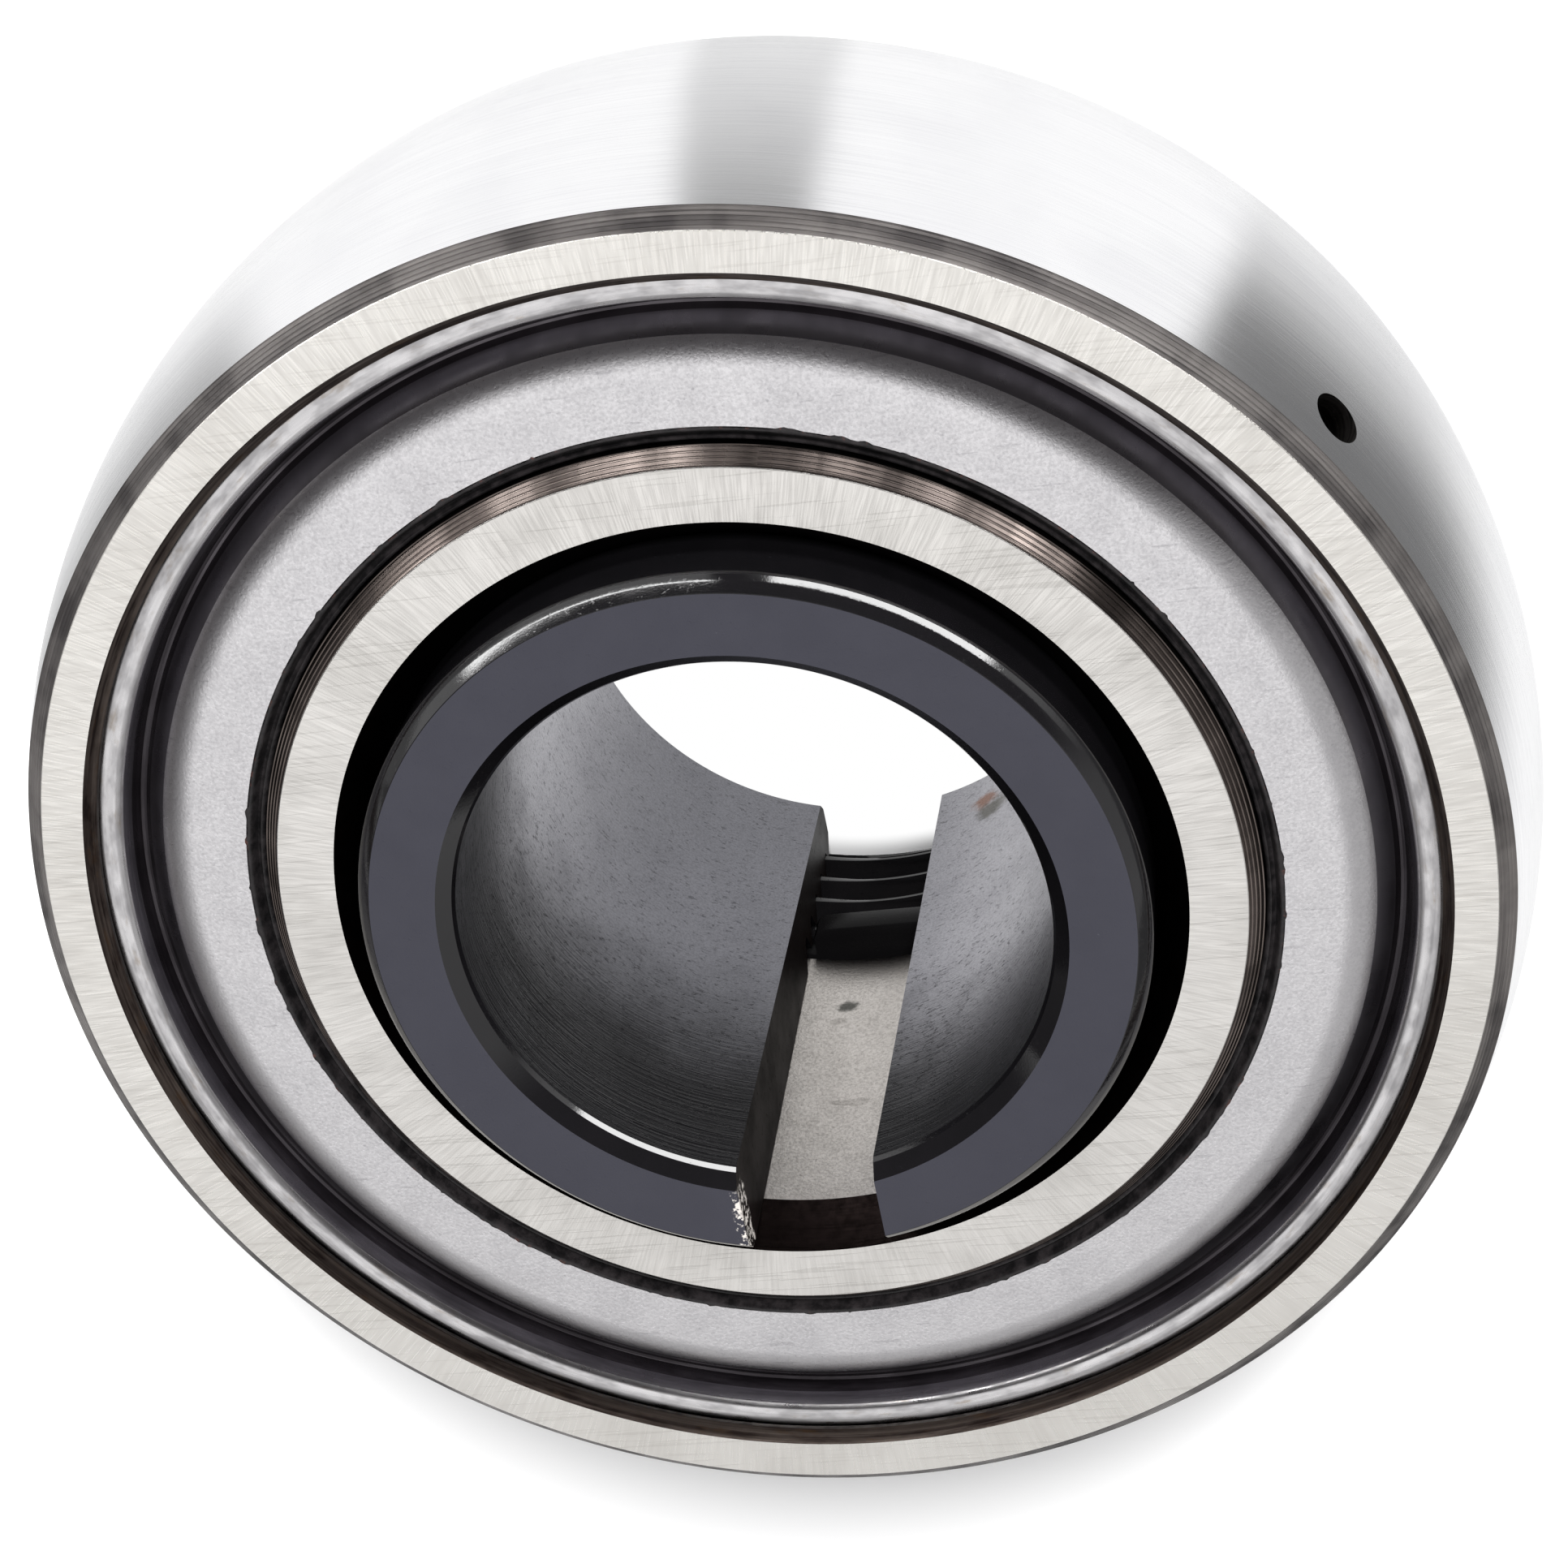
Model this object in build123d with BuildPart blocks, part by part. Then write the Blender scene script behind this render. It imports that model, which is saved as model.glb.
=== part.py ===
# Insert bearing with spherical outside diameter on a slotted adapter sleeve.
# Lengths are in millimetres. The origin is the centre of the sphere, on the shaft axis.
# +Z points out of the front face, the side with the plain end of the sleeve.
import os
from math import cos, radians, sin, sqrt

from build123d import *

# Sizes add up from the shaft outwards and from the balls to the faces: 20 mm shaft, 39 mm pitch
# circle, 52 mm sphere and 15 mm outer ring.
# Adapter sleeve
shaft_d = 20.0
thread_wall = 2.5
sleeve_overhang = 1.85
sleeve_play = 0.075
sleeve_edge = 0.5
sleeve_mouth = 0.7
sleeve_tail_chamfer = 0.35
sleeve_thread_chamfer = 0.5
sleeve_end_setback = 0.1
sleeve_cone_under = 1.4
sleeve_slot_width = 4.8

# Thread between sleeve and nut, drawn as plain cylinders at its pitch diameter
thread_pitch = 1.5
thread_play = 0.02

# Inner ring
cone_step = 0.15
cone_ratio = 12.0
cone_small_chamfer = 0.35
inner_race_wall = 2.861
inner_tail = 1.3
inner_chamfer_run = 0.5
inner_chamfer_depth = 0.65
inner_tail_chamfer = 0.4
mouth_run = 1.1
mouth_depth = 1.5

# Balls and raceways
ball_d = 7.938
ball_count = 9
raceway_play = 0.02
raceway_depth_ratio = 0.16868
raceway_conformity = 0.52

# Outer ring
outer_race_wall = 2.511
outer_chamfer_depth = 0.6
outer_chamfer_run = 0.6
seal_mouth_step = 0.45
seal_mouth_bevel_run = 0.4
seal_mouth_bevel_depth = 0.15
seal_groove_depth = 0.35
seal_groove_start = 0.5
seal_groove_lead = 0.35

# Grease hole in the outer ring
grease_hole_d = 1.8
grease_hole_rise = 0.95
grease_hole_angle = 34.5

# Cage
cage_width = 2.8
cage_thickness = 0.7
pocket_play = 0.06
cage_seal_gap = 0.321
rivet_d = 1.1
rivet_head_d = 2.0
rivet_head_height = 0.45

# Seals
lip_play = 0.03
lip_width = 0.6
lip_setback = 0.3
lip_thickness = 1.0
lip_land = 0.35
lip_plate_inset = 0.5
plate_thickness = 0.5
plate_setback = 0.45
plate_roll_width = 1.37
plate_valley_depth = 1.5
plate_rim_width = 1.35
plate_bead_width = 0.5
plate_line_width = 0.16
plate_line_depth = 0.12
plate_rim_step = 0.1
plate_rim_rise = 0.34
plate_rim_setback = 0.95
backing_thickness = 0.5
backing_inset = 0.2

# Lock washer
washer_thickness = 1.1
washer_bore_play = 0.2
washer_ring_width = 3.3
washer_tab_length = 5.0
washer_tab_width = 4.6
washer_tab_count = 13
washer_tang_play = 0.15
washer_tang_reach = 1.5

# Lock nut
nut_rim_width = 3.0
nut_width = 5.68
nut_face_play = 0.02
nut_slot_width = 5.0
nut_slot_depth = 2.0
nut_slot_count = 4
nut_chamfer_run = 1.6
nut_chamfer_depth = 0.9
nut_face_relief = 0.5
nut_bore_chamfer = 0.5

# Shared positions and radii
shaft_r = shaft_d / 2
thread_r = shaft_r + thread_wall
thread_pitch_r = thread_r - 0.6495 * thread_pitch / 2
cone_small_r = thread_r + cone_step
ball_r = ball_d / 2
raceway_r = raceway_conformity * ball_d
raceway_depth = raceway_depth_ratio * ball_d
inner_race_r = cone_small_r + inner_race_wall
shoulder_r = inner_race_r + raceway_depth
pitch_r = inner_race_r + raceway_play + ball_r
outer_race_r = pitch_r + ball_r + raceway_play
outer_land_r = outer_race_r - raceway_depth
sphere_r = outer_race_r + outer_race_wall
mouth_r = outer_land_r + seal_mouth_step
groove_r = mouth_r + seal_groove_depth
pocket_r = ball_r + pocket_play
shell_r = pocket_r + cage_thickness
seat_z = shell_r + cage_seal_gap
face_z = seat_z + backing_thickness + lip_thickness + plate_thickness + plate_setback
inner_back_z = -face_z - inner_tail
washer_back_z = inner_back_z - washer_thickness
nut_front_z = washer_back_z - nut_face_play
nut_back_z = nut_front_z - nut_width
sleeve_front_z = face_z + sleeve_overhang
sleeve_back_z = nut_back_z + sleeve_end_setback
washer_body_r = thread_r + washer_bore_play + washer_ring_width


def cone_radius(height):
    """Radius of the inner ring's cone at a height above the origin."""
    return cone_small_r + (height - inner_back_z) / cone_ratio / 2


os.makedirs("parts", exist_ok=True)

# Outer ring: sphere outside, raceway and two seal seats inside
chamfer_z = face_z - outer_chamfer_depth
chamfer_r = sqrt(sphere_r**2 - chamfer_z**2)
outer_groove_centre_r = outer_race_r - raceway_r
outer_groove_z = sqrt(raceway_r**2 - (outer_land_r - outer_groove_centre_r) ** 2)
groove_top_z = face_z - seal_groove_start - seal_groove_lead
with BuildPart() as outer_ring:
    with BuildSketch(Plane.XZ):
        with BuildLine():
            ThreePointArc((chamfer_r, chamfer_z), (sphere_r, 0), (chamfer_r, -chamfer_z))
            Polyline(
                (chamfer_r, -chamfer_z),
                (chamfer_r - outer_chamfer_run, -face_z),
                (mouth_r + seal_mouth_bevel_run, -face_z),
                (mouth_r, -face_z + seal_mouth_bevel_depth),
                (mouth_r, -face_z + seal_groove_start),
                (groove_r, -groove_top_z),
                (groove_r, -seat_z),
                (outer_land_r, -seat_z),
                (outer_land_r, -outer_groove_z),
            )
            ThreePointArc((outer_land_r, -outer_groove_z), (outer_race_r, 0), (outer_land_r, outer_groove_z))
            Polyline(
                (outer_land_r, outer_groove_z),
                (outer_land_r, seat_z),
                (groove_r, seat_z),
                (groove_r, groove_top_z),
                (mouth_r, face_z - seal_groove_start),
                (mouth_r, face_z - seal_mouth_bevel_depth),
                (mouth_r + seal_mouth_bevel_run, face_z),
                (chamfer_r - outer_chamfer_run, face_z),
                (chamfer_r, chamfer_z),
            )
        make_face()
    revolve(axis=Axis.Z)
    # The grease hole slants inwards and comes out between the raceway and the seal seat
    hole_turn = radians(grease_hole_angle)
    hole_top_z = (outer_groove_z + seat_z) / 2 + grease_hole_rise
    hole_outer_r = sqrt(sphere_r**2 - hole_top_z**2)
    hole_run = hole_outer_r - outer_land_r
    hole_way = Vector(hole_run * cos(hole_turn), hole_run * sin(hole_turn), grease_hole_rise)
    hole_start = Vector(hole_outer_r * cos(hole_turn), hole_outer_r * sin(hole_turn), hole_top_z)
    hole_entry = hole_start + hole_way.normalized() * grease_hole_d
    with BuildSketch(Plane(origin=hole_entry, z_dir=hole_way)):
        Circle(grease_hole_d / 2)
    extrude(amount=-hole_way.length - 2 * grease_hole_d, mode=Mode.SUBTRACT)
outer_ring.part.label = "outer_ring"
export_step(outer_ring.part, "parts/outer_ring.step")

# Inner ring: raceway outside, cone inside with a wide mouth at the front
cone_front_z = face_z - mouth_depth
inner_groove_centre_r = inner_race_r + raceway_r
inner_groove_z = sqrt(raceway_r**2 - (inner_groove_centre_r - shoulder_r) ** 2)
with BuildPart() as inner_ring:
    with BuildSketch(Plane.XZ):
        with BuildLine():
            ThreePointArc((shoulder_r, inner_groove_z), (inner_race_r, 0), (shoulder_r, -inner_groove_z))
            Polyline(
                (shoulder_r, -inner_groove_z),
                (shoulder_r, inner_back_z + inner_tail_chamfer),
                (shoulder_r - inner_tail_chamfer, inner_back_z),
                (cone_radius(inner_back_z) + cone_small_chamfer, inner_back_z),
                (cone_radius(inner_back_z + cone_small_chamfer), inner_back_z + cone_small_chamfer),
                (cone_radius(cone_front_z), cone_front_z),
                (cone_radius(cone_front_z) + mouth_run, face_z),
                (shoulder_r - inner_chamfer_run, face_z),
                (shoulder_r, face_z - inner_chamfer_depth),
                (shoulder_r, inner_groove_z),
            )
        make_face()
    revolve(axis=Axis.Z)
inner_ring.part.label = "inner_ring"
export_step(inner_ring.part, "parts/inner_ring.step")

# Balls, evenly spaced, each a node of its own
ball_step = 360 / ball_count
for index in range(ball_count):
    ball_turn = radians(90 + index * ball_step)
    with BuildPart() as ball:
        with Locations((pitch_r * cos(ball_turn), pitch_r * sin(ball_turn), 0)):
            Sphere(ball_r)
    ball.part.label = f"ball_{index + 1}"
    export_step(ball.part, f"parts/ball_{index + 1}.step")

# Cage: two pressed halves that meet in the middle plane, with half pockets round the balls
cage_in_r = pitch_r - cage_width / 2
cage_out_r = pitch_r + cage_width / 2
with BuildPart() as cage_front:
    with BuildSketch(Plane.XY):
        Circle(cage_out_r)
        Circle(cage_in_r, mode=Mode.SUBTRACT)
    extrude(amount=cage_thickness)
    with PolarLocations(pitch_r, ball_count, start_angle=90):
        Sphere(shell_r)
    with BuildSketch(Plane.XY):
        Circle(cage_out_r)
        Circle(cage_in_r, mode=Mode.SUBTRACT)
    extrude(amount=shell_r + cage_thickness, mode=Mode.INTERSECT)
    with PolarLocations(pitch_r, ball_count, start_angle=90):
        Sphere(pocket_r, mode=Mode.SUBTRACT)
    with BuildSketch(Plane.XY):
        with PolarLocations(pitch_r, ball_count, start_angle=90 + ball_step / 2):
            Circle(rivet_d / 2)
    extrude(amount=cage_thickness, mode=Mode.SUBTRACT)
cage_front.part.label = "cage_front"
export_step(cage_front.part, "parts/cage_front.step")

with BuildPart() as cage_back:
    mirror(cage_front.part, about=Plane.XY)
cage_back.part.label = "cage_back"
export_step(cage_back.part, "parts/cage_back.step")

# Rivets: a shank through both halves and a head on each side
with BuildPart() as cage_rivets:
    with BuildSketch(Plane.XY):
        with PolarLocations(pitch_r, ball_count, start_angle=90 + ball_step / 2):
            Circle(rivet_d / 2)
    extrude(amount=cage_thickness, both=True)
    with BuildSketch(Plane.XY.offset(cage_thickness), Plane.XY.offset(-cage_thickness - rivet_head_height)):
        with PolarLocations(pitch_r, ball_count, start_angle=90 + ball_step / 2):
            Circle(rivet_head_d / 2)
    extrude(amount=rivet_head_height)
cage_rivets.part.label = "cage_rivets"
export_step(cage_rivets.part, "parts/cage_rivets.step")

# Seals: an outer steel plate, a rubber lip and a steel backing, stacked in the seal seat
lip_r = shoulder_r + lip_play
plate_in_r = lip_r + lip_width
plate_top_z = face_z - plate_setback
plate_valley_r = mouth_r - plate_rim_width
plate_flat_r = plate_valley_r - plate_roll_width
lip_out_r = plate_flat_r - lip_plate_inset
valley_z = face_z - plate_valley_depth
bead_r = plate_valley_r + plate_bead_width
rim_start_r = bead_r + plate_line_width
rim_top_z = face_z - plate_rim_setback
rim_back_z = valley_z - plate_thickness
plate_back_z = plate_top_z - plate_thickness
lip_back_z = plate_back_z - lip_thickness
back_flat_r = plate_flat_r - plate_thickness / 2
with BuildPart() as front_seal_plate:
    with BuildSketch(Plane.XZ):
        with BuildLine():
            Polyline(
                (plate_valley_r, valley_z),
                (bead_r, valley_z),
                (bead_r + plate_line_width / 2, valley_z - plate_line_depth),
                (rim_start_r, valley_z),
                (rim_start_r + plate_rim_step, valley_z + plate_rim_rise),
                (mouth_r, rim_top_z),
                (groove_r, rim_top_z - seal_groove_lead),
                (groove_r, rim_back_z),
                (plate_valley_r - plate_thickness / 2, rim_back_z),
                (back_flat_r, plate_back_z),
                (plate_in_r, plate_back_z),
                (plate_in_r, plate_top_z),
                (plate_flat_r, plate_top_z),
            )
            ThreePointArc(
                (plate_flat_r, plate_top_z),
                (plate_flat_r + 0.62 * (plate_valley_r - plate_flat_r), plate_top_z + 0.42 * (valley_z - plate_top_z)),
                (plate_valley_r, valley_z),
            )
        make_face()
    revolve(axis=Axis.Z)
front_seal_plate.part.label = "front_seal_plate"
export_step(front_seal_plate.part, "parts/front_seal_plate.step")

# The lip is bonded behind the plate and runs on the shoulder of the inner ring
with BuildPart() as front_seal_lip:
    with BuildSketch(Plane.XZ):
        with BuildLine():
            Polyline(
                (plate_in_r, plate_top_z - lip_setback),
                (lip_r + lip_land, plate_top_z - lip_setback),
                (lip_r, plate_top_z - lip_setback - lip_land),
                (lip_r, plate_top_z - lip_setback - 2 * lip_land),
                (lip_r + lip_land, lip_back_z),
                (lip_out_r, lip_back_z),
                (lip_out_r, plate_back_z),
                (plate_in_r, plate_back_z),
                close=True,
            )
        make_face()
    revolve(axis=Axis.Z)
front_seal_lip.part.label = "front_seal_lip"
export_step(front_seal_lip.part, "parts/front_seal_lip.step")

# The backing closes the seal towards the balls and is held in the same seat
with BuildPart() as front_seal_backing:
    with BuildSketch(Plane.XZ):
        with BuildLine():
            Polyline(
                (plate_in_r + backing_inset, lip_back_z),
                (lip_out_r, lip_back_z),
                (plate_valley_r - plate_thickness / 2, rim_back_z),
                (groove_r, rim_back_z),
                (groove_r, seat_z),
                (plate_in_r + backing_inset, seat_z),
                close=True,
            )
        make_face()
    revolve(axis=Axis.Z)
front_seal_backing.part.label = "front_seal_backing"
export_step(front_seal_backing.part, "parts/front_seal_backing.step")

with BuildPart() as back_seal_plate:
    mirror(front_seal_plate.part, about=Plane.XY)
back_seal_plate.part.label = "back_seal_plate"
export_step(back_seal_plate.part, "parts/back_seal_plate.step")

with BuildPart() as back_seal_lip:
    mirror(front_seal_lip.part, about=Plane.XY)
back_seal_lip.part.label = "back_seal_lip"
export_step(back_seal_lip.part, "parts/back_seal_lip.step")

with BuildPart() as back_seal_backing:
    mirror(front_seal_backing.part, about=Plane.XY)
back_seal_backing.part.label = "back_seal_backing"
export_step(back_seal_backing.part, "parts/back_seal_backing.step")

# Adapter sleeve: cone at the front, thread at the back, slotted over its full length
sleeve_cone_back_z = inner_back_z + sleeve_cone_under
sleeve_thread_r = thread_pitch_r - thread_play
sleeve_edge_z = sleeve_front_z - sleeve_edge
sleeve_front_r = cone_radius(sleeve_edge_z) - sleeve_play
with BuildPart() as adapter_sleeve:
    with BuildSketch(Plane.XZ):
        with BuildLine():
            Polyline(
                (shaft_r + sleeve_mouth, sleeve_front_z),
                (sleeve_front_r - sleeve_edge, sleeve_front_z),
                (sleeve_front_r, sleeve_edge_z),
                (cone_radius(sleeve_cone_back_z) - sleeve_play, sleeve_cone_back_z),
                (sleeve_thread_r, sleeve_cone_back_z),
                (sleeve_thread_r, sleeve_back_z + sleeve_thread_chamfer),
                (sleeve_thread_r - sleeve_thread_chamfer, sleeve_back_z),
                (shaft_r + sleeve_tail_chamfer, sleeve_back_z),
                (shaft_r, sleeve_back_z + sleeve_tail_chamfer),
                (shaft_r, sleeve_front_z - sleeve_mouth),
                close=True,
            )
        make_face()
    revolve(axis=Axis.Z)
    with BuildSketch(Plane.XY.offset(sleeve_back_z)):
        with Locations((0, -sleeve_front_r)):
            Rectangle(sleeve_slot_width, 2 * (sleeve_front_r - shaft_r / 2))
    extrude(amount=sleeve_front_z - sleeve_back_z, mode=Mode.SUBTRACT)
adapter_sleeve.part.label = "adapter_sleeve"
export_step(adapter_sleeve.part, "parts/adapter_sleeve.step")

# Lock washer: flat ring with tabs outside and one tang in the sleeve's slot
washer_bore_r = thread_r + washer_bore_play
washer_tab_r = washer_body_r + washer_tab_length
tang_width = sleeve_slot_width - 2 * washer_tang_play
tab_root_r = washer_body_r - washer_tab_width / 2
with BuildPart() as lock_washer:
    with BuildSketch(Plane.XY.offset(washer_back_z)):
        Circle(washer_body_r)
        with PolarLocations((washer_tab_r + tab_root_r) / 2, washer_tab_count, start_angle=90):
            Rectangle(washer_tab_r - tab_root_r, washer_tab_width)
        Circle(washer_bore_r, mode=Mode.SUBTRACT)
        with Locations((0, -washer_bore_r + washer_tang_reach / 2 - washer_tang_play)):
            Rectangle(tang_width, washer_tang_reach + 2 * washer_tang_play)
    extrude(amount=washer_thickness)
lock_washer.part.label = "lock_washer"
export_step(lock_washer.part, "parts/lock_washer.step")

# Lock nut: round nut with spanner slots in its edge
nut_r = washer_body_r + nut_rim_width
nut_bore_r = thread_pitch_r + thread_play
with BuildPart() as lock_nut:
    with BuildSketch(Plane.XZ):
        with BuildLine():
            Polyline(
                (nut_bore_r + nut_bore_chamfer, nut_front_z),
                (washer_body_r, nut_front_z),
                (nut_r, nut_front_z - nut_face_relief),
                (nut_r, nut_back_z + nut_chamfer_depth),
                (nut_r - nut_chamfer_run, nut_back_z),
                (nut_bore_r + nut_bore_chamfer, nut_back_z),
                (nut_bore_r, nut_back_z + nut_bore_chamfer),
                (nut_bore_r, nut_front_z - nut_bore_chamfer),
                close=True,
            )
        make_face()
    revolve(axis=Axis.Z)
    with BuildSketch(Plane.XY.offset(nut_back_z)):
        with PolarLocations(nut_r, nut_slot_count, start_angle=45):
            Rectangle(2 * nut_slot_depth, nut_slot_width)
    extrude(amount=nut_width, mode=Mode.SUBTRACT)
lock_nut.part.label = "lock_nut"
export_step(lock_nut.part, "parts/lock_nut.step")
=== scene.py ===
import math
import random

import bmesh
import bpy
from mathutils import Matrix, Vector

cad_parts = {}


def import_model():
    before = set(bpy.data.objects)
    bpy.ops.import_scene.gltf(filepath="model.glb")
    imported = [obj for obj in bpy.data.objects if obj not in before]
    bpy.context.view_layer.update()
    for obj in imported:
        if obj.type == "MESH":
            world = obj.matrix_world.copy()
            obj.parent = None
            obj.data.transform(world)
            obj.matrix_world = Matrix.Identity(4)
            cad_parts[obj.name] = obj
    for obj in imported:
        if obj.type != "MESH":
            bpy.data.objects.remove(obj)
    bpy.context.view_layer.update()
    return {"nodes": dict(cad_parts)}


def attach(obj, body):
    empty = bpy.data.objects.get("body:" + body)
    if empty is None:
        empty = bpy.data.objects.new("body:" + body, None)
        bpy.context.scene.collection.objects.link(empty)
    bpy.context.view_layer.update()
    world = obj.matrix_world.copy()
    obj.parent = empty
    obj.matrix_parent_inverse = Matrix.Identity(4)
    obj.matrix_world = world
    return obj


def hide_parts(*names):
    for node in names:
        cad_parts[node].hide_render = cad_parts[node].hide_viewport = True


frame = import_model()
MM = 0.001
TAU = 2 * math.pi

# ---------------------------------------------------------------- sizes in mm, as in the solids
H = 7.5                     # half the width of the outer ring
SPHERE = 26.0               # radius of its outside
CHAMFER_Z = 6.9             # where its chamfers meet the sphere
CHAMFER_R = math.sqrt(SPHERE**2 - CHAMFER_Z**2)
FACE_R = CHAMFER_R - 0.6    # where its chamfers meet its faces
MOUTH = 22.6                # the seal's seat: its mouth, its groove, its floor and the land behind it
GROOVE = 22.95
SEAT_Z = 5.05
LAND = 22.15
HOLE_R = 0.9                # the slanted grease hole: its radius, its height on the sphere, its azimuth
HOLE_Z = 5.0
HOLE_AT = math.radians(34.5)
BALL = 7.938
PITCH_R = 19.5              # radius of the circle of balls
RACE = 0.52 * BALL          # radius of a raceway's groove
OUTER_RACE = PITCH_R + BALL / 2 + 0.02
INNER_RACE = PITCH_R - BALL / 2 - 0.02
SHOULDER = 16.85            # radius of the inner ring's outside
INNER_BACK = -8.8
SLEEVE_TOP = 9.35
SLEEVE_EDGE = 0.5
SLEEVE_END = -15.5
SLEEVE_BORE = 10.0
SLOT_HALF = 2.4
CONE_GAP = 0.075            # between the ring's cone and the sleeve's
NUT_TOP = -9.92
NUT_END = -15.6
PITCH = 1.5                 # of the thread
THREAD_Z = -12.65           # height of a crest of the nut's thread at the slot
THREAD_STEP = 0.125         # between the rings of a cut thread


def cone(z):
    """Radius of the inner ring's cone, which widens by 1 in 12 of its diameter towards the front."""
    return 12.65 + (z - INNER_BACK) / 24


def add_object(name, data):
    ob = bpy.data.objects.new(name, data)
    bpy.context.scene.collection.objects.link(ob)
    return ob


# ---------------------------------------------------------------- camera
# The camera is fitted to the ellipses of the photograph. In its own axes (x right, y down, z forward, in mm)
# it sees the bearing's axis along AXIS, the front face centred on FACE_CENTRE, and the slot turned by SLOT_TURN.
PHOTO_WIDTH = 1932
FOCAL = 5500.0              # in pixels of that width
SENSOR = 36.0
AXIS_X, AXIS_Y = -0.1285, 0.5152
AXIS = Vector((AXIS_X, AXIS_Y, -math.sqrt(1 - AXIS_X**2 - AXIS_Y**2)))
FACE_CENTRE = Vector((-0.8954, 4.0274, 148.9788))
SLOT_TURN = math.radians(6.0)


def camera():
    data = bpy.data.cameras.new("camera")
    data.sensor_width = SENSOR
    data.lens = FOCAL / PHOTO_WIDTH * SENSOR
    data.clip_start = 0.01
    data.clip_end = 20
    side = AXIS.cross(Vector((0, 1, 0))).normalized()
    down = AXIS.cross(side)
    across = side * math.cos(SLOT_TURN) + down * math.sin(SLOT_TURN)
    along = down * math.cos(SLOT_TURN) - side * math.sin(SLOT_TURN)
    axes = (across, along, AXIS)
    origin = FACE_CENTRE - AXIS * H
    place = Vector([-origin.dot(a) for a in axes]) * MM
    right = Vector([a.x for a in axes])
    up = -Vector([a.y for a in axes])
    back = -Vector([a.z for a in axes])
    turn = Matrix((right, up, back)).transposed()
    ob = add_object("camera", data)
    ob.matrix_world = Matrix.Translation(place) @ turn.to_4x4()
    bpy.context.scene.camera = ob


camera()


# ---------------------------------------------------------------- node helpers
class Tree:
    """The nodes of a material or world, written short."""

    def __init__(self, owner):
        owner.use_nodes = True
        self.nt = owner.node_tree
        self.nt.nodes.clear()

    def node(self, kind, **values):
        """A new node: _name sets a property, i0 or i1 an input by number, and another name an input by name."""
        n = self.nt.nodes.new(kind)
        for key, value in values.items():
            if key[0] == "_":
                setattr(n, key[1:], value)
            elif key[0] == "i" and key[1:].isdigit():
                self.put(n, int(key[1:]), value)
            else:
                self.put(n, key, value)
        return n

    def put(self, n, key, value):
        target = n.inputs[key]
        if isinstance(value, bpy.types.NodeSocket):
            self.nt.links.new(value, target)
        else:
            target.default_value = value

    def math(self, op, a, b=0.0, c=None, clamp=False):
        n = self.node("ShaderNodeMath", _operation=op, _use_clamp=clamp, i0=a, i1=b)
        if c is not None:
            self.put(n, 2, c)
        return n.outputs[0]

    def add(self, a, b, clamp=False):
        return self.math("ADD", a, b, clamp=clamp)

    def sub(self, a, b):
        return self.math("SUBTRACT", a, b)

    def mul(self, a, *rest):
        return self.math("MULTIPLY", a, self.mul(*rest) if len(rest) > 1 else rest[0])

    def most(self, a, b):
        return self.math("MAXIMUM", a, b)

    def vec(self, op, a, b=None, scale=None):
        n = self.node("ShaderNodeVectorMath", _operation=op, i0=a)
        if b is not None:
            self.put(n, 1, b)
        if scale is not None:
            self.put(n, 3, scale)
        return n.outputs[1] if op in ("DOT_PRODUCT", "LENGTH", "DISTANCE") else n.outputs[0]

    def rng(self, value, a, b, c=0.0, d=1.0, smooth=True):
        """c where value is at a, d where it is at b, and in between a curve or a straight line."""
        kind = "SMOOTHSTEP" if smooth else "LINEAR"
        n = self.node("ShaderNodeMapRange", _interpolation_type=kind, i0=value, i1=a, i2=b, i3=c, i4=d)
        return n.outputs[0]

    def mix(self, fac, a, b):
        return self.node("ShaderNodeMix", _data_type="RGBA", i0=fac, i6=a, i7=b).outputs[2]

    def noise(self, vector, scale, detail=3.0, rough=0.55):
        n = self.node("ShaderNodeTexNoise", Vector=vector, Scale=scale, Detail=detail, Roughness=rough)
        return n.outputs[0]

    def bump(self, height, strength, depth, normal=None):
        """Relief of up to depth mm, on top of another relief's normal if there is one."""
        n = self.node("ShaderNodeBump", Strength=strength, Distance=depth * MM, Height=height)
        if normal is not None:
            self.put(n, "Normal", normal)
        return n.outputs[0]

    def place(self):
        """Where a point lies, in mm: its vector, its x, y and z, and its vector on the plane z = 0."""
        mm = self.vec("SCALE", self.node("ShaderNodeTexCoord").outputs["Object"], scale=1 / MM)
        xyz = self.node("ShaderNodeSeparateXYZ", Vector=mm).outputs
        return mm, xyz, self.node("ShaderNodeCombineXYZ", X=xyz[0], Y=xyz[1]).outputs[0]

    def degrees(self, x, y):
        return self.mul(self.math("ARCTAN2", y, x), 180 / math.pi)

    def emission(self, level, strength=1.0):
        return self.node("ShaderNodeEmission", Color=(level, level, level, 1.0), Strength=strength).outputs[0]

    def blend(self, fac, a, b):
        """The shader a where fac is 0, and b where it is 1."""
        return self.node("ShaderNodeMixShader", i0=fac, i1=a, i2=b).outputs[0]


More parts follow.
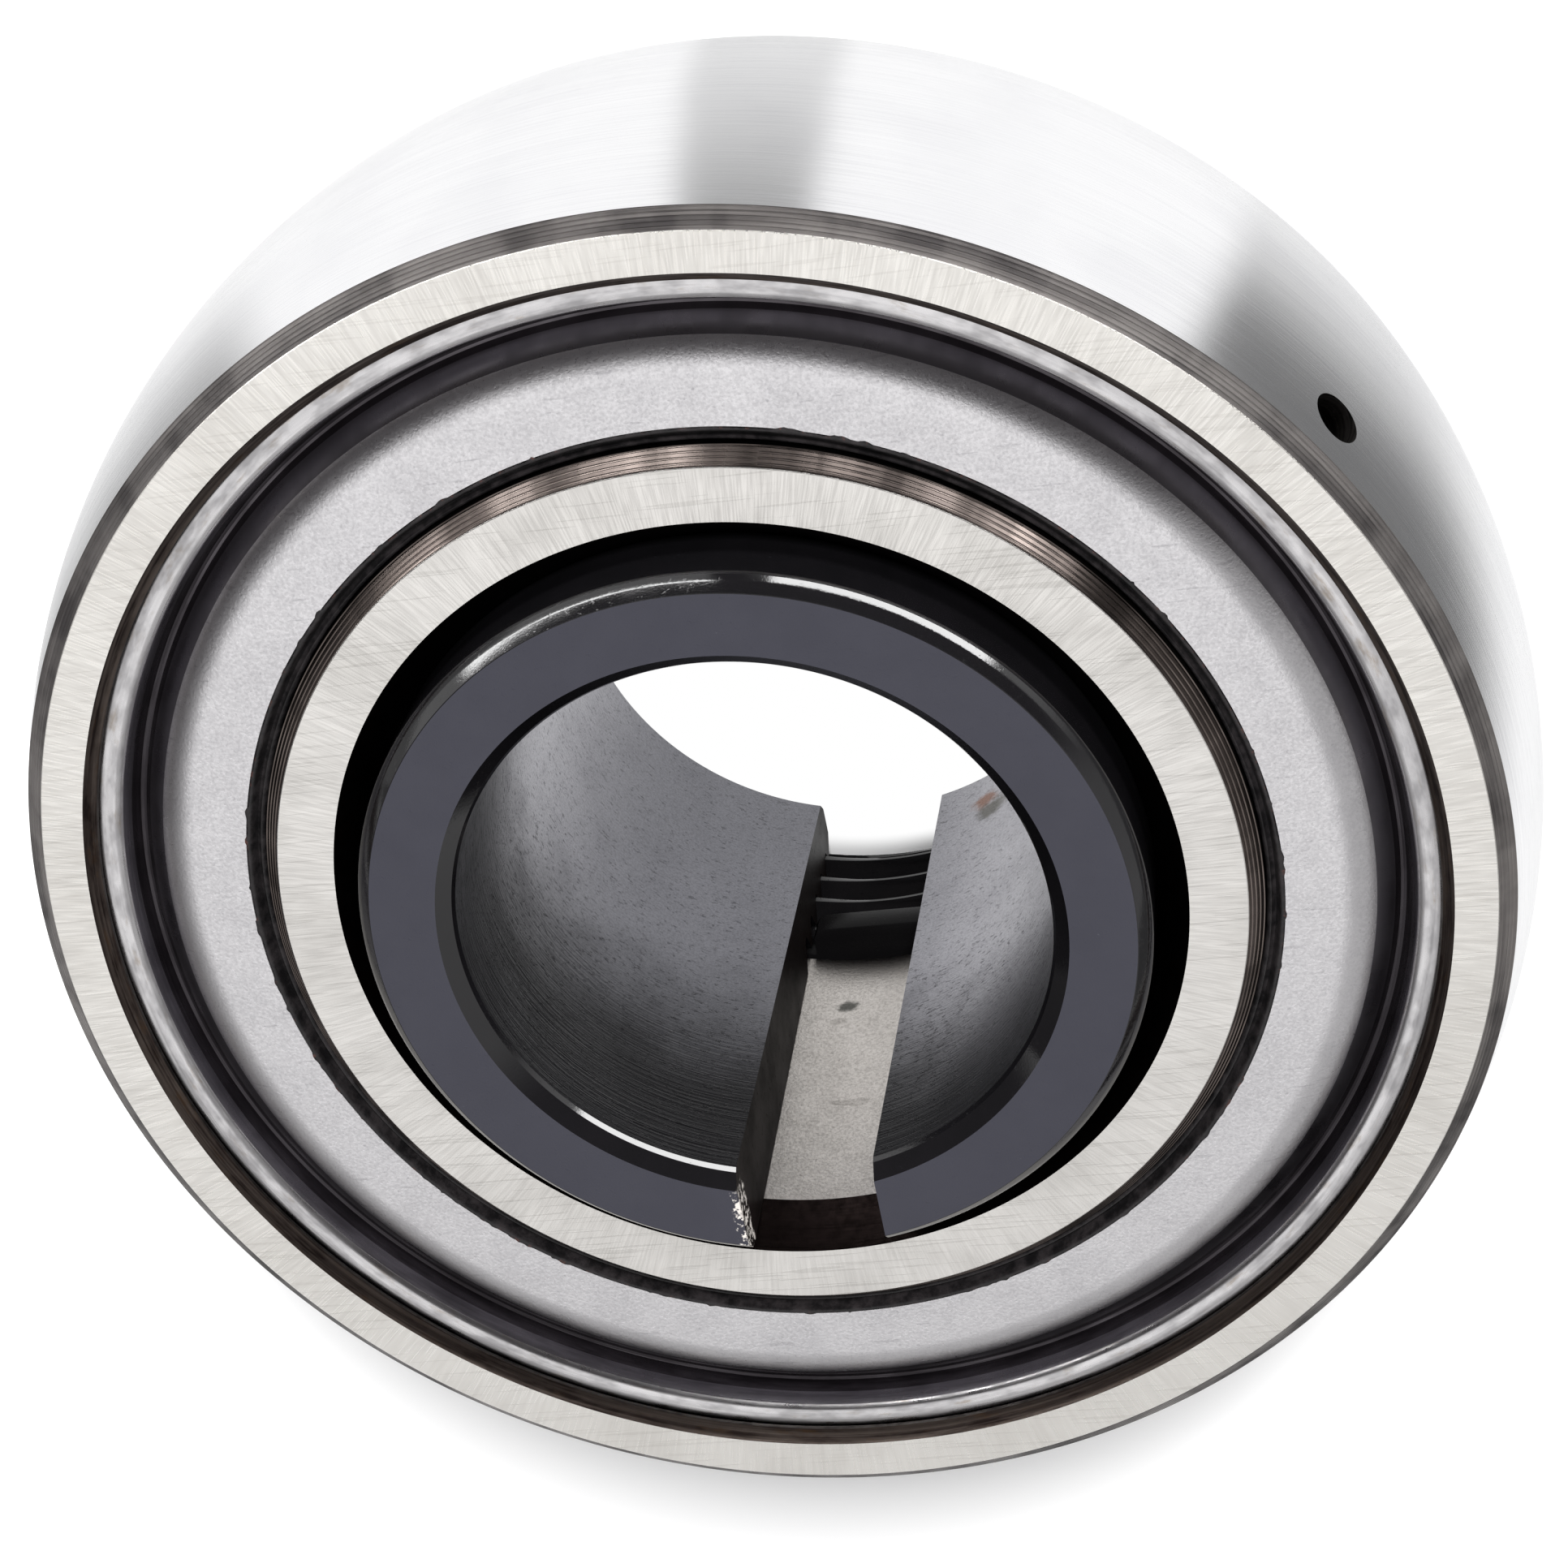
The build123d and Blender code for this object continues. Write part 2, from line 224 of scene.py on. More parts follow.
class Surface(Tree):
    """A material of the object, with what its patterns need: the point in mm, its radius and its direction."""

    def __init__(self, name):
        self.material = bpy.data.materials.new(name)
        super().__init__(self.material)
        self.bsdf = self.node("ShaderNodeBsdfPrincipled")
        self.node("ShaderNodeOutputMaterial", i0=self.bsdf.outputs[0])
        self.mm, (self.x, self.y, self.z), flat = self.place()
        self.radius = self.vec("LENGTH", flat)
        self.around = self.vec("NORMALIZE", flat)

    def wrapped(self, scale, height, stretch, detail=3.0, rough=0.55):
        """Noise that runs round the axis at one scale and along a height at another, with no seam."""
        turn = self.vec("SCALE", self.around, scale=scale)
        rise = self.node("ShaderNodeCombineXYZ", Z=self.mul(height, stretch)).outputs[0]
        return self.noise(self.vec("ADD", turn, rise), 1.0, detail, rough)

    def scratches(self, angle, density, fine, seed, low=0.66, high=0.72):
        """Thin straight scratches at one angle, 0 to 1."""
        turned_mm = self.node("ShaderNodeMapping", Vector=self.mm, Location=(seed * 3.1, seed * 1.7, seed),
                              Rotation=(0, 0, math.radians(angle)), Scale=(density, fine, 1.0)).outputs[0]
        return self.rng(self.noise(turned_mm, 1.0, 1.0, 0.4), low, high)

    def spot(self, centre, far, near, level):
        """A small blot with a ragged edge, 0 at far mm from its centre and level at near."""
        ragged = self.mul(self.sub(self.noise(self.mm, 2.2, 3.0, 0.7), 0.5), far * 1.2)
        return self.rng(self.add(self.vec("DISTANCE", self.mm, centre), ragged), far, near, 0.0, level)

    def between(self, value, ends, soft):
        """1 between two values, fading to 0 within soft of each."""
        low, high = ends
        return self.mul(self.rng(value, low, low + soft), self.rng(value, high, high - soft))

    def finish(self, colour, metallic, rough, normal):
        values = {"Base Color": colour, "Metallic": metallic, "Roughness": rough, "Normal": normal}
        for key, value in values.items():
            self.put(self.bsdf, key, value)
        return self.material


def rgb(*seen):
    """A colour given as it is seen, 0 to 255, made linear for the shader."""
    shares = [v / 255 for v in seen]
    return (*[v / 12.92 if v <= 0.04045 else ((v + 0.055) / 1.055) ** 2.4 for v in shares], 1.0)


# ---------------------------------------------------------------- materials
# Places on the object, in mm. Left and right are as in the photograph, which has the slot at its bottom
# and +X on its right.
STAIN = (-0.7, -12.77, -5.48)       # on the ring's cone, seen through the slot
RUST = (4.42, -8.97, -13.2)         # deep in the sleeve's bore, on the right of the slot
RUST_DARK = (4.75, -8.8, -12.3)
SHADED_SIDE = (-0.47, -0.883, 0.0)    # the side on which the bore's satin is painted darker, as shade
NICK_X = (-2.75, -2.3)              # the bare corner of the sleeve, on the left of the slot
NICK_Y = (-13.3, -10.2)
NICK_Z = 8.2
LIP_EDGE = (17.40, 17.56)           # where the seal's rubber meets its plate


def ground_face(name, base, dark, rough, streak, hatch=0.25, lap=130.0):
    """A face that was ground flat: marks across it, clouds and a few straight scratches."""
    s = Surface(name)
    radial = s.wrapped(lap, s.radius, 0.35, 2.0, 0.6)
    coarse = s.noise(s.mm, 0.35, 3.0)
    fine = s.wrapped(lap * 3.2, s.radius, 0.8, 1.0)
    cross = s.add(s.scratches(28, 0.25, 9.0, 1.0),
                  s.add(s.scratches(-37, 0.3, 8.0, 2.0), s.scratches(81, 0.22, 10.0, 3.0)), clamp=True)
    tone = s.mul(s.rng(radial, 0.3, 0.7), streak)
    tone = s.add(tone, s.mul(s.rng(coarse, 0.35, 0.7), 0.3))
    tone = s.add(tone, s.mul(cross, hatch), clamp=True)
    relief = s.bump(s.add(radial, s.mul(fine, 0.6)), 0.09, 0.02)
    gloss = s.rng(fine, 0.3, 0.7, rough - 0.06, rough + 0.08)
    return s.finish(s.mix(tone, base, dark), 1.0, gloss, s.bump(cross, 0.13, 0.01, relief))


def turned(name, base, dark, rough, lines=7.0, wave=1.0, tint=None, metal=1.0, worn=34.0):
    """Turned steel: rings round the axis, and wear that is uneven along the way."""
    s = Surface(name)
    across = s.add(s.radius, s.mul(s.z, 0.8))
    rings = s.wrapped(2.5, across, lines, 2.0, 0.6)
    wear = s.wrapped(worn, across, 2.2, 3.0, 0.6)
    tone = s.add(s.mul(s.rng(rings, 0.35, 0.65), 0.7 * wave), s.mul(s.rng(wear, 0.4, 0.7), 0.45), clamp=True)
    colour = s.mix(tone, base, dark)
    if tint:
        spots = s.rng(s.wrapped(14.0, across, 2.4, 4.0, 0.65), 0.54, 0.74)
        colour = s.mix(s.mul(spots, 0.5), colour, tint)
    gloss = s.rng(wear, 0.3, 0.7, rough - 0.06, rough + 0.1)
    return s.finish(colour, metal, gloss, s.bump(rings, 0.35, 0.03))


def honed_sphere(name, base, dark):
    """The bright outside of the outer ring: fine rings round the axis under soft clouds."""
    s = Surface(name)
    brush = s.wrapped(2.2, s.z, 16.0, 3.0, 0.7)
    fine = s.wrapped(7.0, s.z, 60.0, 1.0)
    cloud = s.noise(s.mm, 0.16, 3.0)
    tone = s.add(s.mul(s.rng(brush, 0.35, 0.7), 0.30), s.mul(s.rng(cloud, 0.4, 0.7), 0.25), clamp=True)
    relief = s.bump(s.add(brush, s.mul(fine, 0.5)), 0.22, 0.02)
    return s.finish(s.mix(tone, base, dark), 1.0, s.rng(brush, 0.3, 0.7, 0.15, 0.23), relief)


def plate_steel(name, base, dark, rough, speckle=0.5, stain=None):
    """Pressed or bored steel with an even grain, specks, blotches and hairlines."""
    s = Surface(name)
    grain = s.noise(s.mm, 9.0, 3.0, 0.7)
    specks = s.rng(s.noise(s.mm, 5.5, 2.0, 0.5), 0.66, 0.74)
    blotch = s.noise(s.mm, 0.55, 3.0, 0.6)
    hair = s.add(s.scratches(12, 0.5, 5.0, 5.0, 0.72, 0.76),
                 s.scratches(-52, 0.45, 5.0, 6.0, 0.72, 0.76), clamp=True)
    tone = s.add(s.mul(s.rng(grain, 0.35, 0.7), speckle), s.mul(s.rng(blotch, 0.35, 0.7), 0.25))
    tone = s.add(tone, s.mul(s.most(specks, hair), 0.45), clamp=True)
    colour = s.mix(tone, base, dark)
    if stain:
        colour = s.mix(s.spot(stain, 0.45, 0.2, 0.85), colour, rgb(52, 54, 50))
    return s.finish(colour, 1.0, s.rng(grain, 0.3, 0.7, rough - 0.06, rough + 0.06), s.bump(grain, 0.35, 0.03))


def bore_steel(name):
    """The sleeve's bore: pitted near its mouth, with painted shade and a painted reflection: black near the mouth,
    a lighter satin further in, and darker on one side.
    """
    s = Surface(name)
    cloud = s.noise(s.mm, 0.45, 4.0, 0.6)
    grain = s.noise(s.mm, 12.0, 2.0, 0.6)
    rings = s.wrapped(1.5, s.z, 9.0, 2.0, 0.6)
    # painted light: the black near the mouth stands for shade, and the lighter satin for the floor mirrored
    # further in; the satin starts at a ragged height, and lower down on the right
    height = s.add(s.z, s.mul(s.sub(cloud, 0.5), 2.5))
    right = s.most(s.vec("DOT_PRODUCT", s.around, (1.0, 0.0, 0.0)), 0.0)
    height = s.sub(height, s.mul(right, 5.0))
    inner = s.rng(height, 5.5, -5.0)
    # painted shade: the satin is darker towards one side of the bore
    worn = s.rng(s.vec("DOT_PRODUCT", s.around, SHADED_SIDE), 0.45, 0.97)
    colour = s.mix(inner, rgb(20, 19, 22), s.mix(worn, rgb(172, 171, 177), rgb(118, 118, 124)))
    colour = s.mix(s.spot(RUST, 0.75, 0.2, 0.85), colour, rgb(124, 74, 38))
    colour = s.mix(s.spot(RUST_DARK, 0.95, 0.25, 0.8), colour, rgb(58, 55, 34))
    pit = s.rng(s.noise(s.vec("MULTIPLY", s.mm, (1.0, 1.0, 2.6)), 3.4, 3.0, 0.75), 0.57, 0.66)
    tone = s.add(s.mul(s.rng(grain, 0.35, 0.7), 0.25), s.mul(pit, 0.35), clamp=True)
    gloss = s.rng(s.add(cloud, s.mul(pit, 0.3)), 0.3, 0.9, 0.30, 0.46)
    depth = s.mul(s.rng(s.z, -3.0, 5.0, 0.2, 1.3), s.add(pit, s.mul(rings, 1.0)))
    relief = s.bump(s.add(depth, s.mul(grain, 0.3)), 0.5, 0.05)
    return s.finish(s.mix(tone, colour, rgb(24, 23, 25)), 0.85, gloss, relief)


def black_steel(name, base, dark, rough, pits, ior=1.5, vary=1.0, relief=0.3, nicked=False):
    """Blackened steel with small pits and bright nicks, and bare at the worn corner of the slot if nicked."""
    s = Surface(name)
    cloud = s.noise(s.mm, 0.5, 4.0, 0.6)
    grain = s.noise(s.mm, 14.0, 2.0, 0.6)
    pit = s.rng(s.noise(s.mm, 4.5, 3.0, 0.7), 0.6, 0.72)
    nicks = s.mul(s.rng(s.noise(s.mm, 2.6, 4.0, 0.75), 0.7, 0.76), s.rng(grain, 0.45, 0.6))
    tone = s.add(s.mul(s.rng(cloud, 0.3, 0.7), 0.45), s.mul(s.rng(grain, 0.3, 0.7), 0.3), clamp=True)
    colour = s.mix(tone, base, dark)
    colour = s.mix(s.mul(nicks, 0.35), colour, rgb(120, 122, 130))
    if nicked:
        bare = s.mul(s.between(s.x, NICK_X, 0.1), s.between(s.y, NICK_Y, 0.4))
        ragged = s.rng(s.noise(s.mm, 3.6, 3.0, 0.7), 0.5, 0.58)
        bare = s.mul(bare, s.mul(s.rng(s.z, NICK_Z, NICK_Z + 0.2), ragged))
        colour = s.mix(bare, colour, rgb(206, 200, 194))
    s.put(s.bsdf, "IOR", ior)
    gloss = s.rng(s.add(cloud, s.mul(pit, 0.3)), 0.3, 0.9, rough - 0.05 * vary, rough + 0.12 * vary)
    return s.finish(colour, 0.0, gloss, s.bump(s.add(s.mul(pit, pits), s.mul(grain, 0.25)), relief, 0.04))


def rubber_black(name):
    """Black rubber, rust brown in places along the seal plate."""
    s = Surface(name)
    cloud = s.noise(s.mm, 1.6, 4.0, 0.65)
    rust = s.rng(s.wrapped(55.0, s.radius, 1.5, 3.0, 0.6), 0.56, 0.68)
    colour = s.mix(s.rng(cloud, 0.35, 0.7), rgb(14, 13, 14), rgb(38, 35, 36))
    colour = s.mix(s.mul(rust, s.rng(s.radius, *LIP_EDGE)), colour, rgb(78, 48, 42))
    return s.finish(colour, 0.0, s.rng(cloud, 0.3, 0.7, 0.42, 0.6), s.bump(s.noise(s.mm, 8.0, 2.0), 0.4, 0.04))


MAT = {
    # outer ring
    "face": ground_face("outer_face_steel", rgb(244, 241, 236), rgb(214, 210, 204), 0.32, streak=0.2),
    "chamfer": turned("turned_chamfer_steel", rgb(112, 108, 106), rgb(60, 57, 57), 0.42,
                      lines=9.0, metal=0.6, worn=12.0),
    "sphere": honed_sphere("honed_sphere_steel", rgb(252, 252, 253), rgb(226, 226, 230)),
    "seat": turned("seat_edge_steel", rgb(104, 94, 88), rgb(48, 40, 38), 0.45,
                   lines=6.0, tint=rgb(96, 72, 48), worn=14.0),
    "bore": turned("dull_bore_steel", rgb(96, 92, 90), rgb(46, 43, 42), 0.5),
    # inner ring
    "inner_face": ground_face("inner_face_steel", rgb(243, 240, 236), rgb(192, 189, 184), 0.36,
                              streak=0.12, hatch=0.26, lap=95.0),
    "inner_chamfer": turned("inner_chamfer_steel", rgb(122, 112, 107), rgb(50, 45, 43), 0.24,
                            lines=11.0, worn=7.0),
    "mouth": turned("mouth_steel", rgb(32, 26, 25), rgb(21, 17, 16), 0.40, lines=3.0, wave=0.5),
    "cone": plate_steel("cone_bore_steel", rgb(208, 203, 198), rgb(162, 157, 152), 0.34, 0.35, stain=STAIN),
    # seals
    "plate": plate_steel("seal_plate_steel", rgb(230, 228, 230), rgb(196, 194, 197), 0.33, 0.35),
    # painted shade: the roll and the valley are darker copies of the plate's steel, for the shade and dark
    # reflections in the seal's bend
    "roll": turned("seal_roll_steel_painted_shade", rgb(140, 137, 142), rgb(110, 107, 112), 0.3, lines=4.0, wave=0.6, worn=10.0),
    "valley": turned("seal_valley_steel_painted_shade", rgb(92, 88, 92), rgb(58, 54, 57), 0.3, lines=4.0, wave=0.6, worn=10.0),
    "rim": turned("seal_rim_steel", rgb(222, 220, 221), rgb(170, 168, 170), 0.3,
                  lines=4.0, wave=0.6, tint=rgb(150, 132, 108), worn=18.0),
    "rubber": rubber_black("seal_rubber"),
    # sleeve, nut and washer
    "sleeve": black_steel("sleeve_steel", rgb(42, 42, 52), rgb(38, 38, 48), 0.42,
                          pits=0.25, ior=1.56, vary=0.25, nicked=True),
    "sleeve_bore": bore_steel("sleeve_bore_steel_painted_light"),
    "sleeve_side": black_steel("sleeve_side_steel", rgb(15, 14, 16), rgb(9, 9, 10), 0.07,
                               pits=0.2, ior=1.7, vary=0.5, relief=0.12, nicked=True),
    "slot_wall": black_steel("slot_wall_steel", rgb(24, 19, 18), rgb(12, 10, 10), 0.5,
                             pits=0.8, ior=1.2, nicked=True),
    "nut": black_steel("nut_steel", rgb(14, 13, 14), rgb(8, 8, 9), 0.2, pits=0.4),
    "washer": black_steel("washer_steel", rgb(12, 11, 12), rgb(8, 8, 8), 0.3, pits=0.4, ior=1.15),
    # what stays as it is in the solids
    "ball": turned("ball_steel", rgb(236, 236, 240), rgb(214, 214, 220), 0.08, lines=0.6, wave=0.3),
    "cage": plate_steel("cage_steel", rgb(176, 174, 170), rgb(140, 138, 134), 0.35),
}


# ---------------------------------------------------------------- mesh helpers
def dress(mesh, mats):
    for name in mats:
        mesh.materials.append(MAT[name])


def shade(bm, sharp):
    """Smooth faces, with a hard edge where two of them meet at more than sharp degrees."""
    limit = math.radians(sharp)
    for f in bm.faces:
        f.smooth = True
    for e in bm.edges:
        e.smooth = len(e.link_faces) == 2 and e.calc_face_angle(0.0) < limit


def piece(name, mesh, body, node, sharp):
    """A piece of the object that rides on a body and stands for one CAD node."""
    bm = bmesh.new()
    bm.from_mesh(mesh)
    bmesh.ops.remove_doubles(bm, verts=bm.verts, dist=1e-8)
    bmesh.ops.recalc_face_normals(bm, faces=bm.faces)
    shade(bm, sharp)
    bm.to_mesh(mesh)
    bm.free()
    ob = add_object(name, mesh)
    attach(ob, body)
    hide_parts(node)
    return ob


def lathe(name, profile, mats, body, node, segments=360, sharp=32.0):
    """A closed ring: profile is (radius, height, material of the band that starts here), in mm.
    A radius may be a function of (angle, height)."""
    n = len(profile)
    verts, faces = [], []
    for s in range(segments):
        a = TAU * s / segments
        c, si = math.cos(a), math.sin(a)
        for radius, z, _ in profile:
            r = radius(a, z) if callable(radius) else radius
            verts.append((r * c * MM, r * si * MM, z * MM))
        q = (s + 1) % segments
        for i in range(n):
            j = (i + 1) % n
            faces.append((s * n + i, q * n + i, q * n + j, s * n + j))
    mesh = bpy.data.meshes.new(name)
    mesh.from_pydata(verts, [], faces)
    dress(mesh, mats)
    index = [mats.index(mat) for _, _, mat in profile]
    mesh.polygons.foreach_set("material_index", index * segments)
    mesh.update()
    return piece(name, mesh, body, node, sharp)


def band(mat, *points):
    """Points (radius, height) of a profile in one material."""
    return [(r, z, mat) for r, z in points]


def arc(cx, radius, a0, a1, steps, mat):
    """Points of a profile on a circle round (cx, 0), angles in degrees from +r towards +z."""
    out = []
    for k in range(steps + 1):
        a = math.radians(a0 + (a1 - a0) * k / steps)
        out.append((cx + radius * math.cos(a), radius * math.sin(a), mat))
    return out


def raceway(centre, edge, facing, mat):
    """A ball's groove between two edges at radius edge, and half the groove's width."""
    half = math.sqrt(RACE**2 - (centre - edge) ** 2)
    a = math.degrees(math.asin(half / RACE))
    return arc(centre, RACE, facing - a, facing + a, 16, mat), half


def ridges(p, q, count, depth, mat):
    """A straight band from p to q with turned grooves in it, to the left of its way, or right if depth < 0."""
    dr, dz = q[0] - p[0], q[1] - p[1]
    length = math.hypot(dr, dz)
    nr, nz = -dz / length, dr / length
    out = []
    for k in range(count):
        for share, deep in ((0.0, 0.0), (0.55, 0.0), (0.72, 1.0), (0.86, 1.0)):
            f = (k + share) / count
            out.append((p[0] + dr * f + nr * depth * deep, p[1] + dz * f + nz * depth * deep, mat))
    return out


def cutter(name, bm, matrix, mats, mat):
    """An object to cut with, which leaves the material mat on what it cuts."""
    bmesh.ops.transform(bm, matrix=matrix, verts=bm.verts)
    for f in bm.faces:
        f.material_index = mats.index(mat)
    mesh = bpy.data.meshes.new(name)
    bm.to_mesh(mesh)
    bm.free()
    dress(mesh, mats)
    return add_object(name, mesh)


def box_cutter(name, low, high, mats, mat, spin=0.0):
    """A box between two corners in mm, turned by spin about the axis."""
    size = [(b - a) * MM for a, b in zip(low, high)]
    mid = [(a + b) / 2 * MM for a, b in zip(low, high)]
    bm = bmesh.new()
    bmesh.ops.create_cube(bm, size=1.0)
    turn = Matrix.Rotation(spin, 4, "Z")
    return cutter(name, bm, turn @ Matrix.Translation(mid) @ Matrix.Diagonal((*size, 1.0)), mats, mat)


def cut(ob, cutters, sharp=32.0):
    """Cuts the cutters out of ob for good, and shades it again."""
    for c in cutters:
        mod = ob.modifiers.new("cut", "BOOLEAN")
        mod.operation = "DIFFERENCE"
        mod.solver = "EXACT"
        mod.object = c
    bpy.context.view_layer.update()
    dg = bpy.context.evaluated_depsgraph_get()
    mesh = bpy.data.meshes.new_from_object(ob.evaluated_get(dg))
    ob.modifiers.clear()
    old = ob.data
    ob.data = mesh
    bpy.data.meshes.remove(old)
    for c in cutters:
        bpy.data.objects.remove(c)
    bm = bmesh.new()
    bm.from_mesh(mesh)
    shade(bm, sharp)
    bm.to_mesh(mesh)
    bm.free()


# ---------------------------------------------------------------- outer ring
def outer_ring():
    mats = ["face", "sphere", "chamfer", "seat", "bore"]
    reach = math.degrees(math.asin(CHAMFER_Z / SPHERE))
    bevel_r = MOUTH + 0.43
    front = band("face", (bevel_r, H), (FACE_R - 0.03, H))
    front += ridges((FACE_R, H - 0.03), (CHAMFER_R, CHAMFER_Z), 5, -0.028, "chamfer")
    sphere = arc(0, SPHERE, reach, -reach, 60, "sphere")
    back = band("chamfer", *[(r, -z) for r, z, _ in reversed(front)][:-2])
    back += band("face", (front[1][0], -front[1][1]))
    seat = band("seat", (bevel_r, -H), (MOUTH + 0.2, -H + 0.3), (MOUTH + 0.04, -H + 0.40))
    seat += band("bore", (MOUTH, -H + 0.5), (GROOVE, -H + 0.85), (GROOVE, -SEAT_Z), (LAND, -SEAT_Z))
    race, race_z = raceway(OUTER_RACE - RACE, LAND, 0, "bore")
    front_seat = [(r, -z, mat) for r, z, mat in reversed(seat)][:-1]
    profile = front + sphere + back + seat + race + front_seat
    ob = lathe("outer_ring_steel", profile, mats, "outer", "outer_ring")

    # grease hole, from the sphere down to the land between seal and raceway, as in the solid
    out_r = math.sqrt(SPHERE**2 - HOLE_Z**2)
    run, rise = out_r - LAND, HOLE_Z - (race_z + SEAT_Z) / 2
    way = Vector((run * math.cos(HOLE_AT), run * math.sin(HOLE_AT), rise)).normalized()
    start = Vector((out_r * math.cos(HOLE_AT), out_r * math.sin(HOLE_AT), HOLE_Z))
    bm = bmesh.new()
    bmesh.ops.create_cone(bm, cap_ends=True, segments=48, radius1=HOLE_R * MM, radius2=HOLE_R * MM, depth=9 * MM)
    turn = way.to_track_quat("Z", "Y").to_matrix().to_4x4()
    cut(ob, [cutter("hole", bm, Matrix.Translation(start * MM) @ turn, mats, "bore")])


# ---------------------------------------------------------------- inner ring
def inner_ring():
    mats = ["inner_face", "inner_chamfer", "mouth", "cone", "bore"]
    top = H - 1.5
    mouth_r = cone(top) + 1.1
    edge_z = H - 0.65
    back_edge = INNER_BACK + 0.35
    p = band("inner_face", (mouth_r + 0.03, H), (SHOULDER - 0.53, H))
    p += ridges((SHOULDER - 0.5, H - 0.02), (SHOULDER, edge_z), 4, -0.03, "inner_chamfer")
    p += band("bore", (SHOULDER, edge_z))
    p += raceway(INNER_RACE + RACE, SHOULDER, 180, "bore")[0]
    p += band("inner_chamfer", (SHOULDER, INNER_BACK + 0.4))
    p += band("inner_face", (SHOULDER - 0.4, INNER_BACK))
    p += band("mouth", (cone(INNER_BACK) + 0.35, INNER_BACK))
    p += band("cone", *[(cone(z), z) for z in (back_edge, -4.0, 1.0)])
    p += band("mouth", (cone(top), top), (mouth_r - 0.02, H - 0.05))
    lathe("inner_ring_steel", p, mats, "inner", "inner_ring")


# ---------------------------------------------------------------- seals
LIP_R = SHOULDER + 0.03         # the rubber's edge on the inner ring
PLATE_IN = LIP_R + 0.6          # the plate's inner edge
PLATE_TOP = H - 0.53
PLATE_FOOT = PLATE_TOP - 0.42
ROLL_R = PLATE_IN + 1.82        # where the plate's flat ends and its roll begins
ROLL_BEND = 1.8
ROLL_TURN = math.radians(42)
ROLL_STEPS = 11
VALLEY_R, VALLEY_Z = 21.22, H - 1.72
LIP_BACK = H - 1.95
# from the valley up to the rim: radius and height over the valley
VALLEY = ((21.27, -0.05), (21.36, -0.07), (21.46, -0.02), (21.56, 0.14))
FLANK = ((21.66, 0.42), (21.76, 0.74))
RIM = ((21.83, 0.93), (21.90, 1.04), (21.99, 1.10), (22.10, 1.12), (22.45, 1.13), (22.62, 1.09), (22.72, 1.0),
       (GROOVE - 0.03, 0.8))
# the lip's section from the inner ring to the plate: radius over LIP_R and height over PLATE_TOP
LIP = ((0.0, -1.0), (0.0, -0.62), (0.03, -0.36), (0.10, -0.24), (0.18, -0.22), (0.24, -0.34),
       (0.32, -0.38), (0.40, -0.2), (0.46, -0.02), (0.52, 0.025))
LIP_WAVES = (7, 13, 19, 29, 41, 57, 73, 97, 121)     # round the lip's ragged edge
LIP_FLECKS = 110


def plate_profile():
    p = band("plate", (PLATE_IN, PLATE_FOOT), (PLATE_IN, PLATE_TOP - 0.04), (PLATE_IN + 0.04, PLATE_TOP),
             (PLATE_IN + 1.1, PLATE_TOP))
    # the roll: a rounded start, then a straight flank down to the valley
    for k in range(ROLL_STEPS + 1):
        a = ROLL_TURN * k / ROLL_STEPS
        point = (ROLL_R + ROLL_BEND * math.sin(a), PLATE_TOP - ROLL_BEND * (1 - math.cos(a)))
        p += band("plate" if k < ROLL_STEPS else "roll", point)
    p += band("valley", (VALLEY_R - 0.12, VALLEY_Z + 0.13), (VALLEY_R, VALLEY_Z))
    for mat, points in (("valley", VALLEY), ("roll", FLANK), ("rim", RIM)):
        p += band(mat, *[(r, VALLEY_Z + z) for r, z in points])
    p += band("rim", (GROOVE, H - 1.3), (GROOVE, H - 2.0), (21.0, H - 2.0), (19.63, PLATE_FOOT))
    return p


def ragged_edge(rnd):
    """How far the lip's edge reaches over the plate at an angle: shallow waves, and small flecks on them."""
    waves = [(k, rnd.uniform(0, TAU), rnd.uniform(0.3, 1.0)) for k in LIP_WAVES]
    flecks = [(rnd.uniform(0, TAU), rnd.uniform(0.006, 0.02), rnd.uniform(0.03, 0.15)) for _ in range(LIP_FLECKS)]

    def reach(a):
        v = sum(w * math.sin(k * a + phase) for k, phase, w in waves) / 4.0
        v = max(0.0, v) * 0.05
        for at, width, size in flecks:
            d = abs((a - at + math.pi) % TAU - math.pi)
            if d < width:
                v = max(v, size * (1 - d / width) ** 0.6)
        return 0.8 * v
    return reach


def seal(tag, side, seed):
    """side 1 is the front seal, -1 the back one."""
    p = [(r, side * z, mat) for r, z, mat in plate_profile()]
    lathe(f"{tag}_seal_plate_steel", p, ["plate", "rim", "roll", "valley"], "outer",
          f"{tag}_seal_plate", sharp=24.0)

    reach = ragged_edge(random.Random(seed))
    p = [(PLATE_IN + 1.9, PLATE_FOOT), (PLATE_IN + 1.9, LIP_BACK), (LIP_R + 0.35, LIP_BACK)]
    p += [(LIP_R + r, PLATE_TOP + z) for r, z in LIP]
    p += [(lambda a, z: PLATE_IN - 0.03 + reach(a), PLATE_TOP + 0.03)]
    p += [(lambda a, z: PLATE_IN + reach(a), PLATE_TOP + 0.004)]
    p += [(PLATE_IN - 0.02, PLATE_TOP - 0.005), (PLATE_IN - 0.02, PLATE_FOOT)]
    lathe(f"{tag}_seal_lip_rubber", band("rubber", *[(r, side * z) for r, z in p]), ["rubber"], "outer",
          f"{tag}_seal_lip", segments=900, sharp=50.0)


# ---------------------------------------------------------------- thread
CREST_SHARE, ROOT_SHARE = 0.16, 0.22       # of half a pitch, that a crest and a root are flat


